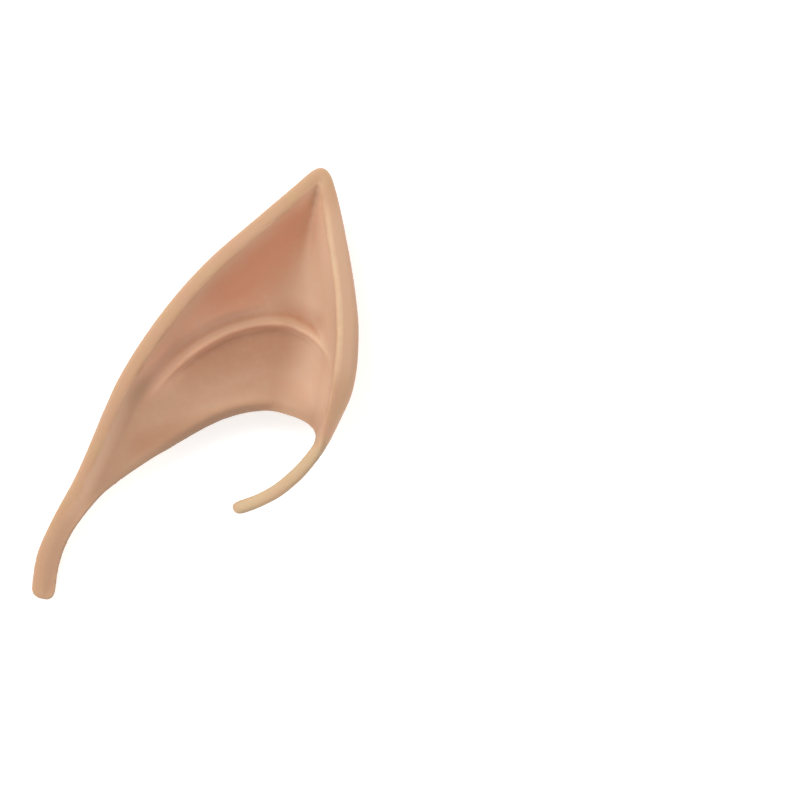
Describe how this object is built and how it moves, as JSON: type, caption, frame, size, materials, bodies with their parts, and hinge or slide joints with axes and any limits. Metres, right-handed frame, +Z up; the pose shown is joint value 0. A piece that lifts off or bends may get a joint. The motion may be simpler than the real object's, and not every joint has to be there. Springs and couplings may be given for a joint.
{
  "type": "elf ear tip",
  "caption": "Pointed elf ear tip, a hollow latex shell that slips over the top of the wearer's ear and leaves the lobe free.",
  "frame": {"origin": "on the table, under the middle of the ear's bounding box, with the ear lying on its back", "axes": "+Z up out of the bowl, +Y from the tail's end to the point, +X from the rear rim to the front rim"},
  "size_m": [0.0766, 0.1002, 0.022],
  "materials": {
    "latex": "satin skin-coloured latex"
  },
  "bodies": {
    "root": {"ear_shell": "latex"}
  },
  "joints": []
}
